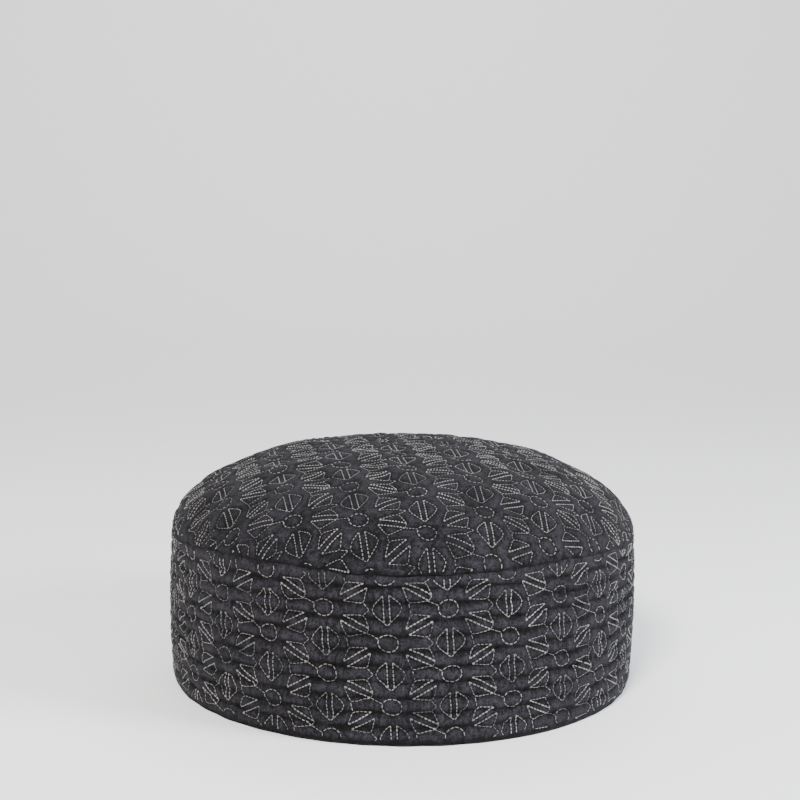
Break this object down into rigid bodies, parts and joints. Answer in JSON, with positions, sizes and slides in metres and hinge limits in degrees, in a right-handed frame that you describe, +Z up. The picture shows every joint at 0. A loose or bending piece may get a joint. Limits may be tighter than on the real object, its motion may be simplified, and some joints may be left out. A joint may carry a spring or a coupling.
{
  "type": "kufi",
  "caption": "Round brimless kufi cap with a quilted side band, a soft domed crown, a narrow rim fold and a plain lining.",
  "frame": {"origin": "centre of the rim, on the plane that the cap stands on", "axes": "+Z up through the middle of the crown; -Y is the side that the picture looks at, +X is to its right"},
  "size_m": [0.198, 0.198, 0.0984],
  "materials": {
    "crown_cloth": "matt woven cloth with pale embroidery thread",
    "band_cloth": "matt quilted woven cloth with pale embroidery thread",
    "binding_cloth": "matt woven cloth",
    "lining_cloth": "plain dark lining cloth"
  },
  "bodies": {
    "root": {"crown_top": "crown_cloth", "side_band": "band_cloth", "rim_binding": "binding_cloth", "lining": "lining_cloth"}
  },
  "joints": []
}
